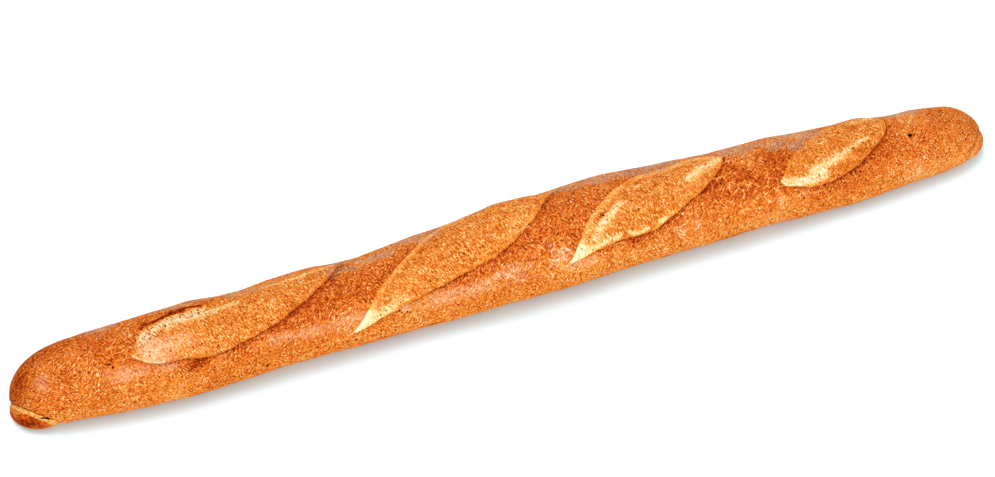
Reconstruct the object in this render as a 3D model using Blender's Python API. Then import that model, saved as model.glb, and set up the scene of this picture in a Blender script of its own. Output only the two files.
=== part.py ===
"""A baguette: one long loaf with four opened cuts, a tucked seam at its left end and a flat base.

The loaf lies along X with its base on Z = 0. A place on its skin is a station, in metres along the loaf
from its middle, and an angle in degrees round it: 0 at the crest, 90 at the front (-Y), 180 underneath.
"""
from collections import namedtuple
import math

import bmesh
import bpy
import numpy as np

# The loaf as a whole, in metres.
LENGTH = 0.620
WIDTHS = (0.043, 0.053, 0.053, 0.0535, 0.060, 0.058, 0.054, 0.048, 0.040)
SIDE_SWAYS = (0.006, 0.0, -0.001, -0.001, 0.0, 0.001, -0.001, -0.002, -0.002)
HEIGHT_PER_WIDTH = 0.82
WIDEST_LEVEL = 0.42
FLANK_POWER = 2.7
BASE_FLAT = 0.0012

# The round ends: how far each cap reaches along the loaf, seen from above and from the side.
CAP_POWER = 2.2
PLAN_CAPS = (0.028, 0.024)
SIDE_CAPS = (0.045, 0.062)
TIP_REACH = 0.060
TIP_HEIGHTS = (0.004, 0.0075)
TIP_SWAYS = (-0.0016, 0.0029)

# An opened cut: its two tips as (station, angle), its front and far edges, and its relief in metres. An
# edge is given by how far it bows away from the straight line between the tips, in degrees round the loaf,
# at even steps of a half circle over that line. The ledge is how far the bulge stands proud at the front
# edge, the crown how much more it swells, the groove a valley at groove_at (0 at the front edge, 1 at the
# far edge), and the ear the far crust's raised rim.
Cut = namedtuple("Cut", "left right front far ledge crown groove groove_at ear")
CUTS = (
    Cut((-0.2385, 25), (-0.103, -31),
        front=(8, 23, 32, 46, 47, 44, 34, 21, 5), far=(6, 22, 42, 35, 24, 39, 41, 35, 25, 12, 4),
        ledge=0.0013, crown=0.0010, groove=0.0012, groove_at=0.86, ear=0.0009),
    Cut((-0.1085, 77), (0.033, -39),
        front=(3, 5, 12, 23, 33, 27, 10), far=(8, 31, 46, 60, 59, 37, 12),
        ledge=0.0008, crown=0.0012, groove=0.0004, groove_at=0.88, ear=0.0002),
    Cut((0.027, 68), (0.138, -15),
        front=(3, 7, 16, 31, 28, 23, 12), far=(8, 29, 41, 43, 33, 29, 13),
        ledge=0.0013, crown=0.0012, groove=0.0009, groove_at=0.84, ear=0.0006),
    Cut((0.1665, 38), (0.245, -19),
        front=(10, 22, 37, 43, 41, 31, 21), far=(5, 19, 26, 41, 47, 35, 19),
        ledge=0.0013, crown=0.0012, groove=0.0009, groove_at=0.5, ear=0.0003),
)
MEAN_RADIUS = 0.0265
LEDGE_RUN = 0.0016
FULL_CROWN_WIDTH = 0.018
GROOVE_SPREAD = 0.16
EAR_REACH = 0.0035
FOOT_DIP = 0.0004
FOOT_REACH = 0.0025

# Gentle swells and hollows left by proofing, as (station, height, half-length along the loaf), by the
# angle round the loaf that they are centred on: high on the far side, and low on the front side.
SWELLS = {
    -52: (
        (-0.195, 0.0009, 0.012), (-0.165, -0.0014, 0.013), (-0.126, 0.0004, 0.014),
        (-0.093, -0.0012, 0.013), (-0.055, 0.0005, 0.014), (-0.026, -0.0005, 0.012),
        (-0.003, 0.0008, 0.012), (0.025, -0.0007, 0.014), (0.066, 0.0012, 0.022),
        (0.098, -0.0002, 0.014), (0.128, -0.0008, 0.016), (0.171, 0.0011, 0.014),
        (0.228, 0.0006, 0.010), (0.252, -0.0013, 0.012),
    ),
    125: (
        (-0.285, 0.0005, 0.014), (-0.245, 0.0006, 0.020), (-0.203, 0.0011, 0.026),
        (-0.146, -0.0008, 0.022), (-0.096, 0.0004, 0.020), (-0.045, 0.0004, 0.020),
        (-0.008, -0.0003, 0.016), (0.036, 0.0008, 0.025), (0.080, 0.0004, 0.020),
        (0.155, -0.0008, 0.024), (0.212, 0.0013, 0.024), (0.262, 0.0003, 0.018),
        (0.290, -0.0007, 0.012),
    ),
}
SWELL_SPREAD = 38.0

# The seam tucked under the left end and the fainter one at the right end. Each lies in a slanted plane,
# and its normal points at the folded heel, which swells out again beyond the seam's step.
Seam = namedtuple("Seam", "point normal step reach heel heel_run")
SEAMS = (
    Seam((-0.2972, -0.0128, 0.0154), (-0.589, -0.595, -0.547), 0.0009, 0.0018, 0.0031, 0.0080),
    Seam((0.3006, -0.0122, 0.0144), (0.757, -0.612, -0.230), 0.0005, 0.0015, 0.0016, 0.0063),
)
SEAM_STATION = 0.262
SEAM_RUN = 0.0012

# Small pits: station, angle, radius and depth.
PITS = ((0.256, 16, 0.0016, 0.0013), (-0.2505, 30, 0.0015, 0.0006))

# The mesh: rings along the loaf, columns round it, and how close to a line each refinement reaches.
RINGS = 96
COLUMNS = 24
REFINE_REACHES = (0.0046, 0.0022)
SNAP_REACH = 0.00055
EDGE_SAMPLES = 49
PROFILE_SAMPLES = 2001
STATION_STEP = 0.0005
ANGLE_STEP = 1.0

CRUST_COLOUR = (0.78, 0.24, 0.045, 1.0)
CRUST_ROUGHNESS = 0.55


def smooth(value):
    """Rises smoothly from 0 to 1."""
    value = np.clip(value, 0.0, 1.0)
    return value * value * (3.0 - 2.0 * value)


def bell(distance):
    """A bell curve, 1 at no distance."""
    return np.exp(-distance * distance)


def curve(values, share):
    """A smooth curve through evenly spaced values, from the first at 0 to the last at 1."""
    spans = len(values) - 1
    padded = np.array((2 * values[0] - values[1], *values, 2 * values[-1] - values[-2]))
    place = np.clip(share * spans, 0.0, spans)
    first = np.minimum(place.astype(int), spans - 1)
    t = place - first
    before, here, there, after = (padded[first + offset] for offset in range(4))
    bend = 2 * before - 5 * here + 4 * there - after
    twist = 3 * (here - there) + after - before
    return here + 0.5 * t * (there - before + t * (bend + t * twist))


def along(values, station):
    """A smooth curve through evenly spaced values, from the loaf's left end to its right end."""
    return curve(values, station / LENGTH + 0.5)


def cap(distance, reach):
    """How full a round end is, from 0 at its tip to 1 where the cap stops."""
    inset = np.clip(1.0 - distance / reach, 0.0, 1.0)
    return (1.0 - inset ** CAP_POWER) ** (1.0 / CAP_POWER)


def both_caps(station, reaches):
    """The fullness that the two end caps leave at a station."""
    return cap(LENGTH / 2 + station, reaches[0]) * cap(LENGTH / 2 - station, reaches[1])


def tip_blend(station, values):
    """A value at each tip that fades out towards the body."""
    left = np.clip(1.0 - (LENGTH / 2 + station) / TIP_REACH, 0.0, 1.0) ** 2
    right = np.clip(1.0 - (LENGTH / 2 - station) / TIP_REACH, 0.0, 1.0) ** 2
    return left * values[0] + right * values[1]


def body_point(station, angle):
    """The plain loaf's skin: an arched top over rounder flanks and a flat base."""
    half_width = along(WIDTHS, station) / 2
    full_height = 2 * half_width * HEIGHT_PER_WIDTH
    tip = tip_blend(station, TIP_HEIGHTS)
    fullness = both_caps(station, SIDE_CAPS)
    bottom = tip * (1.0 - fullness)
    top = tip + (full_height - tip) * fullness
    widest = bottom + WIDEST_LEVEL * (top - bottom)
    across = np.sin(np.radians(angle))
    up = np.cos(np.radians(angle))
    flank = 2.0 / FLANK_POWER
    side = np.where(up >= 0, across, np.sign(across) * np.abs(across) ** flank)
    lower = widest - (widest - bottom + BASE_FLAT) * np.abs(up) ** flank
    z = np.maximum(np.where(up >= 0, widest + (top - widest) * up, lower), 0.0)
    sway = along(SIDE_SWAYS, station) + tip_blend(station, TIP_SWAYS)
    y = sway - half_width * both_caps(station, PLAN_CAPS) * side
    return np.stack((station, y, z), axis=-1)


def body_normal(station, angle):
    """The plain loaf's outward direction, from two short steps along its skin."""
    limit = LENGTH / 2 - STATION_STEP
    station = np.clip(station, -limit, limit)
    run = body_point(station + STATION_STEP, angle) - body_point(station - STATION_STEP, angle)
    turn = body_point(station, angle + ANGLE_STEP) - body_point(station, angle - ANGLE_STEP)
    normal = np.cross(turn, run)
    return normal / np.maximum(np.linalg.norm(normal, axis=-1, keepdims=True), 1e-12)


def edge_line(cut, bows, side):
    """An edge of a cut as stations and angles. It bows to the front where side is 1, to the back at -1."""
    step = np.linspace(0.0, 1.0, EDGE_SAMPLES)
    t = (1.0 - np.cos(math.pi * step)) / 2
    station = cut.left[0] + (cut.right[0] - cut.left[0]) * t
    angle = cut.left[1] + (cut.right[1] - cut.left[1]) * t + side * curve((0, *bows, 0), step)
    return station, angle


def unrolled(station, angle):
    """The skin laid flat, in metres along and round the loaf."""
    return np.stack((station, np.radians(angle) * MEAN_RADIUS), axis=-1)


def nearest_on_line(points, line):
    """Each flat point's distance to a line, and the closest place on it."""
    nearest = np.full(len(points), np.inf)
    place = points.copy()
    for start, end in zip(line[:-1], line[1:]):
        run = end - start
        t = np.clip((points - start) @ run / (run @ run), 0.0, 1.0)
        foot = start + t[:, None] * run
        distance = np.linalg.norm(points - foot, axis=1)
        closer = distance < nearest
        nearest[closer] = distance[closer]
        place[closer] = foot[closer]
    return nearest, place


def cut_relief(cut, station, angle):
    """The height that an opened cut adds to the skin."""
    flat = unrolled(station, angle)
    front = edge_line(cut, cut.front, 1)
    far = edge_line(cut, cut.far, -1)
    to_front = nearest_on_line(flat, unrolled(*front))[0]
    to_far = nearest_on_line(flat, unrolled(*far))[0]
    between = (angle < np.interp(station, *front)) & (angle > np.interp(station, *far))
    inside = between & (station > cut.left[0]) & (station < cut.right[0])
    across = to_front / np.maximum(to_front + to_far, 1e-9)
    fullness = np.clip((to_front + to_far) / FULL_CROWN_WIDTH, 0.0, 1.0)
    rise = smooth(np.minimum(to_front, to_far) / LEDGE_RUN)
    crown = cut.crown * np.sin(math.pi * across) ** 0.7 * fullness
    groove = cut.groove * bell((across - cut.groove_at) / GROOVE_SPREAD) * fullness
    ledge = cut.ledge * (1.0 - across ** 2) * rise
    ear = cut.ear * bell(to_far / EAR_REACH)
    foot = FOOT_DIP * bell(to_front / FOOT_REACH)
    beyond = np.where(to_far < to_front, ear, -foot)
    ear_edge = ear * (1.0 - smooth(to_far / LEDGE_RUN))
    return np.where(inside, ledge + crown - groove * rise + ear_edge, beyond)


def swell_relief(station, angle):
    """The slow unevenness of a hand-shaped loaf."""
    height = np.zeros_like(station)
    for around, swells in SWELLS.items():
        share = bell((angle - around) / SWELL_SPREAD)
        for centre, rise, half_length in swells:
            height += rise * bell((station - centre) / half_length) * share
    return height


def seam_relief(points):
    """A narrow step down where each end's fold was tucked in, and the heel that swells out beyond it."""
    height = np.zeros(len(points))
    for seam in SEAMS:
        beyond = (points - np.array(seam.point)) @ np.array(seam.normal)
        near_end = points[:, 0] * np.sign(seam.point[0]) > SEAM_STATION
        past = np.maximum(beyond - SEAM_RUN, 0.0)
        groove = seam.step * smooth(beyond / SEAM_RUN) * bell(past / seam.reach)
        height += np.where(near_end, seam.heel * smooth(past / seam.heel_run) - groove, 0.0)
    return height


def pit_relief(station, angle):
    """Small pits in the crust."""
    height = np.zeros_like(station)
    flat = unrolled(station, angle)
    for centre, around, radius, depth in PITS:
        offset = flat - unrolled(np.array(centre), np.array(around))
        height -= depth * bell(np.linalg.norm(offset, axis=-1) / radius)
    return height


def skin_point(station, angle):
    """The finished skin: the plain loaf with its relief, which fades out at the flat base."""
    points = body_point(station, angle)
    height = swell_relief(station, angle) + pit_relief(station, angle) + seam_relief(points)
    for cut in CUTS:
        height += cut_relief(cut, station, angle)
    height *= smooth(points[:, 2] / 0.004)
    points += body_normal(station, angle) * height[:, None]
    points[:, 2] = np.maximum(points[:, 2], 0.0)
    return points


def ring_stations():
    """Stations at even steps along the loaf's outline, so that the round ends get enough rings."""
    station = -np.cos(np.linspace(0.0, math.pi, PROFILE_SAMPLES)) * LENGTH / 2
    half_width = along(WIDTHS, station) / 2 * both_caps(station, PLAN_CAPS)
    steps = np.hypot(np.diff(station), np.diff(half_width))
    travelled = np.concatenate(([0.0], np.cumsum(steps)))
    return travelled / travelled[-1], station


def skin_places(directions):
    """The station and angle of each direction from the middle of a sphere with its axis along Z."""
    unit = directions / np.linalg.norm(directions, axis=1, keepdims=True)
    share = 1.0 - np.arccos(np.clip(unit[:, 2], -1.0, 1.0)) / math.pi
    station = np.interp(share, *ring_stations())
    angle = np.degrees(np.arctan2(unit[:, 1], unit[:, 0]))
    return station, angle


def relief_lines():
    """Every line that the relief steps at, laid flat."""
    for cut in CUTS:
        yield unrolled(*edge_line(cut, cut.front, 1))
        yield unrolled(*edge_line(cut, cut.far, -1))


def distance_to_relief(station, angle):
    """How far each place is from the nearest step, seam or pit."""
    flat = unrolled(station, angle)
    nearest = np.min([nearest_on_line(flat, line)[0] for line in relief_lines()], axis=0)
    for centre, around, radius, _ in PITS:
        offset = flat - unrolled(np.array(centre), np.array(around))
        nearest = np.minimum(nearest, np.maximum(np.linalg.norm(offset, axis=1) - radius, 0.0))
    points = body_point(station, angle)
    for seam in SEAMS:
        beyond = (points - np.array(seam.point)) @ np.array(seam.normal)
        near_end = points[:, 0] * np.sign(seam.point[0]) > SEAM_STATION
        above_base = points[:, 2] > 0.002
        nearest = np.where(near_end & above_base, np.minimum(nearest, np.abs(beyond - SEAM_RUN)), nearest)
    return nearest


def refine(mesh):
    """Halves the faces near the relief's lines, once for each reach."""
    for reach in REFINE_REACHES:
        centres = np.array([face.calc_center_median() for face in mesh.faces])
        close = distance_to_relief(*skin_places(centres)) < reach
        edges = {edge for face, near in zip(mesh.faces[:], close) if near for edge in face.edges}
        edges = sorted(edges, key=lambda edge: edge.index)
        bmesh.ops.subdivide_edges(mesh, edges=edges, cuts=1, use_grid_fill=True)
        mesh.edges.index_update()
        mesh.faces.ensure_lookup_table()


def snap_to_edges(station, angle):
    """Moves places that are very near a cut's edge onto it, so that the ledge is one clean line."""
    flat = unrolled(station, angle)
    for line in relief_lines():
        distance, place = nearest_on_line(flat, line)
        near = distance < SNAP_REACH
        flat[near] = place[near]
    return flat[:, 0], np.degrees(flat[:, 1] / MEAN_RADIUS)


def crust_material():
    """Browned crust."""
    material = bpy.data.materials.new("crust")
    material.use_nodes = True
    shader = material.node_tree.nodes["Principled BSDF"]
    shader.inputs["Base Color"].default_value = CRUST_COLOUR
    shader.inputs["Roughness"].default_value = CRUST_ROUGHNESS
    shader.inputs["Metallic"].default_value = 0.0
    return material


def make_loaf():
    """The loaf, from a sphere whose axis becomes the loaf's length."""
    mesh = bmesh.new()
    bmesh.ops.create_uvsphere(mesh, u_segments=COLUMNS, v_segments=RINGS, radius=1.0)
    mesh.edges.index_update()
    refine(mesh)
    station, angle = snap_to_edges(*skin_places(np.array([vertex.co for vertex in mesh.verts])))
    points = skin_point(station, angle)
    middle = (points.min(axis=0) + points.max(axis=0)) / 2
    points[:, :2] -= middle[:2]
    for vertex, point in zip(mesh.verts, points):
        vertex.co = point
    bmesh.ops.triangulate(mesh, faces=mesh.faces[:])
    bmesh.ops.recalc_face_normals(mesh, faces=mesh.faces[:])
    data = bpy.data.meshes.new("baguette")
    mesh.to_mesh(data)
    mesh.free()
    data.shade_smooth()
    data.set_sharp_from_angle(angle=math.radians(50))
    data.materials.append(crust_material())
    return bpy.data.objects.new("baguette", data)


def main():
    """Clears the scene and builds the baguette in a collection of its own."""
    for item in list(bpy.data.objects):
        bpy.data.objects.remove(item, do_unlink=True)
    collection = bpy.data.collections.new("baguette")
    bpy.context.scene.collection.children.link(collection)
    collection.objects.link(make_loaf())


main()
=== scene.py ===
"""The looks of the baguette: browned crust, opened cuts and the plain studio round it.

The loaf is the CAD loaf made again in a much finer mesh, from the same named sizes, with fine relief
added. A place on its skin is a station, in metres along the loaf from its middle, and an angle in
degrees round it: 0 at the crest, 90 at the front (-Y), 180 underneath. Sizes are in metres.
"""
from collections import namedtuple
import math

import bmesh
import bpy
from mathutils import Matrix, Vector
import numpy as np


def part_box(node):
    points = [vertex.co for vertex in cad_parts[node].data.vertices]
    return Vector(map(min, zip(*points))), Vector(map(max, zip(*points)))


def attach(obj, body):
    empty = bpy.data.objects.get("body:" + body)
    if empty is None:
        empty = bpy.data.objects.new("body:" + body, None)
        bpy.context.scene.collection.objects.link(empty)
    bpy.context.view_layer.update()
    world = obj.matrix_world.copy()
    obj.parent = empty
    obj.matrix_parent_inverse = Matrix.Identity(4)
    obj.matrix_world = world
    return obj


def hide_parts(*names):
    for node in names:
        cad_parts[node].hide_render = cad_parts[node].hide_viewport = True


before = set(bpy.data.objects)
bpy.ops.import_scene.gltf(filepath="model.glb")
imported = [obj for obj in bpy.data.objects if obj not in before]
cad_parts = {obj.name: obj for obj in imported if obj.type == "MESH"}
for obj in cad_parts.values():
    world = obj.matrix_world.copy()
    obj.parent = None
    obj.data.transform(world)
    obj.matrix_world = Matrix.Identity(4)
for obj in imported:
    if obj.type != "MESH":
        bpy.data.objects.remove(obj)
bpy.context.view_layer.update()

# ---------------- the loaf's form, as in the CAD model
LENGTH = 0.620
# Widths and sideways shifts at even steps from the left tip to the right one.
WIDTHS = (0.043, 0.053, 0.053, 0.0535, 0.060, 0.058, 0.054, 0.048, 0.040)
SIDE_SWAYS = (0.006, 0.0, -0.001, -0.001, 0.0, 0.001, -0.001, -0.002, -0.002)
HEIGHT_PER_WIDTH = 0.82
WIDEST_LEVEL = 0.42
FLANK_POWER = 2.7
BASE_FLAT = 0.0012
CAP_POWER = 2.2
PLAN_CAPS = (0.028, 0.024)
SIDE_CAPS = (0.045, 0.062)
TIP_REACH = 0.060
TIP_HEIGHTS = (0.004, 0.0075)
TIP_SWAYS = (-0.0016, 0.0029)

# An opened cut: its tips as (station, angle), how far its edges bow away from the straight line between
# them, in degrees at even steps of a half circle over that line, and its relief.
Cut = namedtuple("Cut", "left right front far ledge crown groove groove_at ear")
CUTS = (
    Cut((-0.2385, 25), (-0.103, -31),
        front=(8, 23, 32, 46, 47, 44, 34, 21, 5), far=(6, 22, 42, 35, 24, 39, 41, 35, 25, 12, 4),
        ledge=0.0013, crown=0.0010, groove=0.0012, groove_at=0.86, ear=0.0009),
    Cut((-0.1085, 77), (0.033, -39),
        front=(3, 5, 12, 23, 33, 27, 10), far=(8, 31, 46, 60, 59, 37, 12),
        ledge=0.0008, crown=0.0012, groove=0.0004, groove_at=0.88, ear=0.0002),
    Cut((0.027, 68), (0.138, -15),
        front=(3, 7, 16, 31, 28, 23, 12), far=(8, 29, 41, 43, 33, 29, 13),
        ledge=0.0013, crown=0.0012, groove=0.0009, groove_at=0.84, ear=0.0006),
    Cut((0.1665, 38), (0.245, -19),
        front=(10, 22, 37, 43, 41, 31, 21), far=(5, 19, 26, 41, 47, 35, 19),
        ledge=0.0013, crown=0.0012, groove=0.0009, groove_at=0.5, ear=0.0003),
)
MEAN_RADIUS = 0.0265
FULL_CROWN_WIDTH = 0.018
CROWN_POWER = 0.7
GROOVE_SPREAD = 0.16
EAR_REACH = 0.0035
FOOT_DIP = 0.0004
FOOT_REACH = 0.0025
CUT_MARGIN = 0.014

# Slow swells and hollows: round each angle, the middle, rise and half-length of each.
SWELLS = {
    -52: (
        (-0.195, 0.0009, 0.012), (-0.165, -0.0014, 0.013), (-0.126, 0.0004, 0.014),
        (-0.093, -0.0012, 0.013), (-0.055, 0.0005, 0.014), (-0.026, -0.0005, 0.012),
        (-0.003, 0.0008, 0.012), (0.025, -0.0007, 0.014), (0.066, 0.0012, 0.022),
        (0.098, -0.0002, 0.014), (0.128, -0.0008, 0.016), (0.171, 0.0011, 0.014),
        (0.228, 0.0006, 0.010), (0.252, -0.0013, 0.012),
    ),
    125: (
        (-0.285, 0.0005, 0.014), (-0.245, 0.0006, 0.020), (-0.203, 0.0011, 0.026),
        (-0.146, -0.0008, 0.022), (-0.096, 0.0004, 0.020), (-0.045, 0.0004, 0.020),
        (-0.008, -0.0003, 0.016), (0.036, 0.0008, 0.025), (0.080, 0.0004, 0.020),
        (0.155, -0.0008, 0.024), (0.212, 0.0013, 0.024), (0.262, 0.0003, 0.018),
        (0.290, -0.0007, 0.012),
    ),
}
SWELL_SPREAD = 38.0

# A tucked seam: a point and the normal of its plane, its step down and that step's reach, and the rise
# and run of the heel beyond it.
Seam = namedtuple("Seam", "point normal step reach heel heel_run")
SEAMS = (
    Seam((-0.2972, -0.0128, 0.0154), (-0.589, -0.595, -0.547), 0.0009, 0.0018, 0.0031, 0.0080),
    Seam((0.3006, -0.0122, 0.0144), (0.757, -0.612, -0.230), 0.0005, 0.0015, 0.0016, 0.0063),
)
SEAM_STATION = 0.262
SEAM_RUN = 0.0005
SEAM_STEP_SHIFT = 0.0007

# ---------------- finer relief than the CAD model has
LEDGE_RUN = 0.0006
UNDERCUT = 0.0006
UNDERCUT_REACH = 0.0008
UNDERCUT_LUMPS = 0.012
# Each wobble of the cuts' edges: its height in degrees, its waves a metre and its phase.
EDGE_WOBBLES = ((0.45, 60.0, 0.3), (0.30, 140.0, 1.9), (0.2, 310.0, 4.1))
# Each layer of unevenness: its height and the size of its lumps.
CRUST_RELIEF = ((0.00035, 0.020), (0.00018, 0.007), (0.00008, 0.0030))
CRUMB_RELIEF = ((0.00030, 0.0035), (0.00016, 0.0018))
CRUMB_STRETCH = 3.5
CRUMB_SLANT = 0.25
CALM_RELIEF_LOSS = 0.7
BLISTER_RISE = 0.0005
WRINKLE_RISE = 0.0002
BASE_FADE = 0.004
NOISE_CELLS = 32
NOISE_SEED = 7
CRUMB_SEED = 17
UNDERCUT_SEED = 27

# Pits in the crust: station, angle, radius and depth.
PITS = (
    (0.256, 19, 0.0012, 0.0016), (-0.2513, 28, 0.0006, 0.0008), (-0.2500, 33, 0.0006, 0.0008),
    (-0.0915, 89, 0.0005, 0.0007), (-0.079, 64, 0.0005, 0.0007), (-0.0745, 69, 0.0006, 0.0008),
    (-0.162, 92, 0.0007, 0.0007), (-0.107, 92, 0.0005, 0.0006), (0.217, 19, 0.0006, 0.0008),
    (-0.0335, 19, 0.0005, 0.0007), (0.076, 28, 0.0004, 0.0006), (-0.214, -2, 0.0005, 0.0007),
    (0.003, 102, 0.0006, 0.0007), (-0.0845, -15, 0.0004, 0.0005), (0.130, 21, 0.0005, 0.0005),
    (-0.2025, 34, 0.0004, 0.0005), (0.0985, 92, 0.0005, 0.0006), (0.054, 24, 0.0006, 0.0007),
    (0.158, 101, 0.0006, 0.0007),
)

# ---------------- where the colour changes
# A stroke is a soft band along a short line of (station, angle) points: half-width and strength.
# A patch is a soft oval: its middle, half-length along the loaf, half-width round it, and strength.
Stroke = namedtuple("Stroke", "half_width strength points")
Patch = namedtuple("Patch", "station angle along around strength")


def strokes(*rows):
    """Strokes, one from each row."""
    return tuple(Stroke(*row) for row in rows)


def patches(*rows):
    """Patches, one from each row."""
    return tuple(Patch(*row) for row in rows)


# Pale crumb in the cuts.
CREAM = strokes(
    # The first cut: the pale valley under its ear, the streak to its right tip and the left edge.
    (0.0042, 1.25, ((-0.231, 8), (-0.224, -1), (-0.214, -8))),
    (0.0054, 1.25, ((-0.213, -6), (-0.204, -9), (-0.194, -9))),
    (0.0028, 0.85, ((-0.208, -14), (-0.2, -16), (-0.189, -16))),
    (0.004, 0.9, ((-0.193, -8), (-0.183, -7))),
    (0.0026, 0.8, ((-0.183, -7), (-0.17, -9))),
    (0.0018, 0.75, ((-0.152, -22), (-0.142, -20), (-0.133, -20), (-0.125, -23))),
    (0.0015, 0.7, ((-0.125, -23), (-0.116, -26), (-0.108, -29))),
    (0.0009, 0.8, ((-0.237, 26), (-0.232, 35), (-0.226, 40), (-0.221, 43))),
    # The second cut.
    (0.0032, 0.65, ((-0.09, 54), (-0.082, 50), (-0.074, 47))),
    (0.0008, 0.5, ((-0.008, 18), (0.004, 13), (0.012, 6))),
    # The third cut.
    (0.0021, 0.95, ((0.042, 58), (0.05, 53), (0.06, 52))),
    (0.0031, 0.9, ((0.045, 46), (0.0505, 36), (0.058, 26))),
    (0.0027, 0.9, ((0.058, 26), (0.067, 15))),
    (0.0032, 1.0, ((0.112, 7), (0.121, 0), (0.128, -6), (0.134, -12))),
    # The fourth cut.
    (0.0036, 1.35, ((0.168, 40), (0.176, 45), (0.186, 46), (0.194, 42))),
    (0.0032, 1.1, ((0.188, 36), (0.198, 30), (0.207, 25))),
    (0.0017, 0.9, ((0.207, 25), (0.215, 18), (0.223, 11), (0.229, 10))),
) + patches(
    # The first cut: its pale left lobe and flecks.
    (-0.226, 26, 0.012, 0.008, 0.66), (-0.21, 24, 0.013, 0.0075, 0.52),
    (-0.199, 42, 0.0035, 0.0015, 0.6), (-0.191, 29, 0.003, 0.002, 0.5), (-0.19, 48, 0.006, 0.0015, 0.3),
    # The second cut: its pale left wedge and flecks.
    (-0.1, 67, 0.013, 0.008, 1.8), (-0.086, 56, 0.0065, 0.0045, 1.0), (-0.08, 44, 0.008, 0.005, 0.45),
    (-0.06, 23, 0.005, 0.0022, 0.6), (-0.075, 30, 0.004, 0.003, 0.4), (-0.048, 6, 0.006, 0.002, 0.35),
    (0.009, -2, 0.002, 0.0015, 0.6), (-0.03, 24, 0.005, 0.0015, 0.4),
    # The third cut.
    (0.033, 63, 0.01, 0.0075, 1.8), (0.043, 57, 0.004, 0.003, 0.8), (0.044, 37, 0.0035, 0.0018, 0.7),
    (0.081, 0, 0.0028, 0.0011, 0.9), (0.128, -20, 0.008, 0.0022, 0.55), (0.127, -6, 0.008, 0.005, 0.5),
    # The fourth cut.
    (0.233, 17, 0.003, 0.0016, 0.7), (0.225, -26, 0.005, 0.004, 0.75), (0.236, -30, 0.007, 0.004, 0.7),
    (0.182, 16, 0.004, 0.003, 0.4),
)
# Torn strands in the first cut's pale valley.
STRANDS = strokes(
    (0.0042, 1.0, ((-0.229, 6), (-0.216, -6), (-0.205, -11), (-0.187, -11))),
)
# Places that have baked more than the rest.
BROWN = strokes(
    # The first cut's dark line under its ear: its toasted edge and painted shade under the ear.
    (0.001, 1.5, ((-0.2285, -7), (-0.2255, -13), (-0.2205, -18))),
    (0.0012, 3.0, ((-0.22, -16), (-0.215, -21), (-0.208, -23))),
    (0.0009, 2.0, ((-0.208, -23), (-0.1985, -23), (-0.19, -20))),
    # The foot's brown rim, where it shows.
    (0.001, 1.6, ((0.124, 108), (0.136, 110), (0.15, 109))),
    (0.001, 1.6, ((-0.066, 107), (-0.054, 107))),
    # Inside the third cut.
    (0.0006, 1.3, ((0.05, 27), (0.053, 23), (0.057, 20))),
) + patches(
    # The dark places below the first cut's ledge: painted shade under the ledge, and darker crust lower
    # down.
    (-0.203, 57, 0.0085, 0.0038, 1.5), (-0.204, 68, 0.008, 0.006, 0.35),
    (-0.198, 97, 0.004, 0.0045, 0.6), (-0.241, 96, 0.003, 0.0015, 0.4),
    (-0.237, 10, 0.0045, 0.0045, 0.45),
    # The ends.
    (-0.304, -10, 0.009, 0.024, 1.0), (-0.29, -34, 0.022, 0.007, 0.6), (-0.265, 74, 0.03, 0.012, 0.28),
    (-0.252, 6, 0.01, 0.007, 0.3), (-0.303, 98, 0.01, 0.011, 2.1), (-0.304, 60, 0.01, 0.008, 0.3),
    (0.262, 50, 0.04, 0.014, 0.16),
    # The browner crown between the cuts.
    (-0.105, 18, 0.02, 0.01, 0.36), (-0.118, 26, 0.02, 0.005, 0.36), (-0.135, 25, 0.016, 0.0075, 0.5),
    (-0.134, 40, 0.018, 0.007, 0.3), (0.031, 38, 0.009, 0.0065, 0.4), (0.228, 30, 0.012, 0.01, 0.55),
    (0.02, 26, 0.014, 0.012, 0.18), (0.004, 32, 0.014, 0.005, 0.22), (-0.042, 51, 0.02, 0.0025, 0.35),
    (0.04, 0, 0.018, 0.014, 0.1), (0.169, 4, 0.013, 0.0075, 0.55), (0.144, 26, 0.026, 0.014, 0.38),
    (0.212, 80, 0.024, 0.012, 0.36), (0.22, 55, 0.025, 0.006, 0.32), (-0.29, -48, 0.03, 0.009, 0.9),
    (-0.255, -28, 0.016, 0.008, 0.25), (0.253, 24, 0.012, 0.008, 0.15),
    (0.071, 65, 0.0065, 0.0028, 0.8), (-0.155, 84, 0.05, 0.014, 0.32), (-0.02, 82, 0.05, 0.008, 0.18),
    # Inside the cuts.
    (0.223, -16, 0.004, 0.0022, 0.9), (0.23, -42, 0.0035, 0.002, 1.1),
    (0.079, -10, 0.006, 0.0024, 0.55), (0.082, 36, 0.006, 0.0015, 0.2), (-0.16, 18, 0.02, 0.006, 0.15),
    (-0.045, -22, 0.015, 0.006, 0.15), (-0.058, -6, 0.01, 0.003, 0.25), (0.212, 36, 0.014, 0.004, 0.3),
    (-0.19, 12, 0.012, 0.004, 0.25),
)
# Places that have baked less than the rest.
PALER = patches(
    (0.148, -8, 0.01, 0.007, 0.45), (0.257, -14, 0.012, 0.012, 0.45), (0.008, 6, 0.012, 0.006, 0.5),
    (0.274, 72, 0.018, 0.01, 0.15), (0.03, 82, 0.014, 0.008, 0.4), (0.257, 80, 0.01, 0.01, 0.35),
    (0.07, 80, 0.014, 0.006, 0.2), (0.28, 50, 0.012, 0.008, 0.12),
)
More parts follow.
